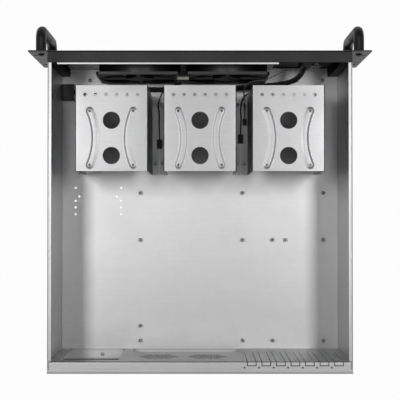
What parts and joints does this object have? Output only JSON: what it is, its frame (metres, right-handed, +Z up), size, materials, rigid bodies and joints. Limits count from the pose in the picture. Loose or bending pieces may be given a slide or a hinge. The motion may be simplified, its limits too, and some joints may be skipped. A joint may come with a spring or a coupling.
{
  "type": "rackmount server case",
  "caption": "Empty 4U rackmount server case with its lid off: galvanised tray, black front panel with handles, drive cages, cooling fans, card slots and board standoffs.",
  "frame": {"origin": "centre of the rack-ear slots, on the rear face of the front panel", "axes": "+Y from the front panel towards the rear, +Z up, +X to the right as seen from the front"},
  "size_m": [0.4826, 0.4926, 0.177],
  "materials": {
    "black_paint": "fine textured matt black powder coat",
    "galvanised": "dull galvanised sheet",
    "black_plastic": "moulded, satin",
    "copper_winding": "enamelled winding",
    "handle_paint": "smooth black",
    "brass_standoff": "turned",
    "grey_plastic": "moulded",
    "button_plastic": "moulded",
    "lens_plastic": "clear moulded",
    "circuit_board": "black solder mask",
    "plated_shell": "plated sheet",
    "white_plastic": "moulded",
    "black_screw": "black oxide",
    "lead_sleeve": "bundled insulated wires",
    "signal_sleeve": "insulated wire",
    "plug_plastic": "moulded",
    "zinc_screw": "zinc plated"
  },
  "bodies": {
    "chassis": {"front_panel": "black_paint", "corner_post_left": "black_paint", "corner_post_right": "black_paint", "base_tray": "galvanised", "rear_panel": "galvanised", "fan_bracket": "galvanised", "fan_frame_left": "black_plastic", "fan_frame_right": "black_plastic", "fan_stator_left": "copper_winding", "fan_stator_right": "copper_winding", "drive_cage_left": "galvanised", "drive_cage_middle": "galvanised", "drive_cage_right": "galvanised", "handle_left": "handle_paint", "handle_right": "handle_paint", "standoffs": "brass_standoff", "control_housing": "grey_plastic", "status_lights": "lens_plastic", "usb_board": "circuit_board", "usb_shells": "plated_shell", "usb_tongues": "white_plastic", "usb_spacers": "white_plastic", "front_lead": "lead_sleeve", "fan_lead_left": "lead_sleeve", "fan_lead_right": "lead_sleeve", "signal_lead": "signal_sleeve", "front_plug": "plug_plastic", "fan_plug_left": "plug_plastic", "fan_plug_right": "plug_plastic", "signal_plug": "plug_plastic", "cable_clip": "white_plastic", "handle_screws": "black_screw", "fan_screws": "zinc_screw", "cage_screws": "zinc_screw", "floor_screws": "zinc_screw", "side_screws": "zinc_screw"},
    "fan_left": {"fan_rotor_left": "black_plastic"},
    "fan_right": {"fan_rotor_right": "black_plastic"},
    "power": {"power_button": "button_plastic"},
    "reset": {"reset_button": "button_plastic"}
  },
  "joints": [
    {"name": "fan_left_spin", "type": "hinge", "parent": "chassis", "child": "fan_left", "pos_m": [-0.0393, 0.015, -0.0035], "axis": [0, 1, 0], "continuous": true},
    {"name": "fan_right_spin", "type": "hinge", "parent": "chassis", "child": "fan_right", "pos_m": [0.089, 0.015, -0.0035], "axis": [0, 1, 0], "continuous": true},
    {"name": "power_press", "type": "slide", "parent": "chassis", "child": "power", "axis": [0, 1, 0], "range_m": [0, 0.0025], "stiffness_N_per_m": 600, "springref_m": -0.001},
    {"name": "reset_press", "type": "slide", "parent": "chassis", "child": "reset", "axis": [0, 1, 0], "range_m": [0, 0.0025], "stiffness_N_per_m": 400, "springref_m": -0.001}
  ]
}
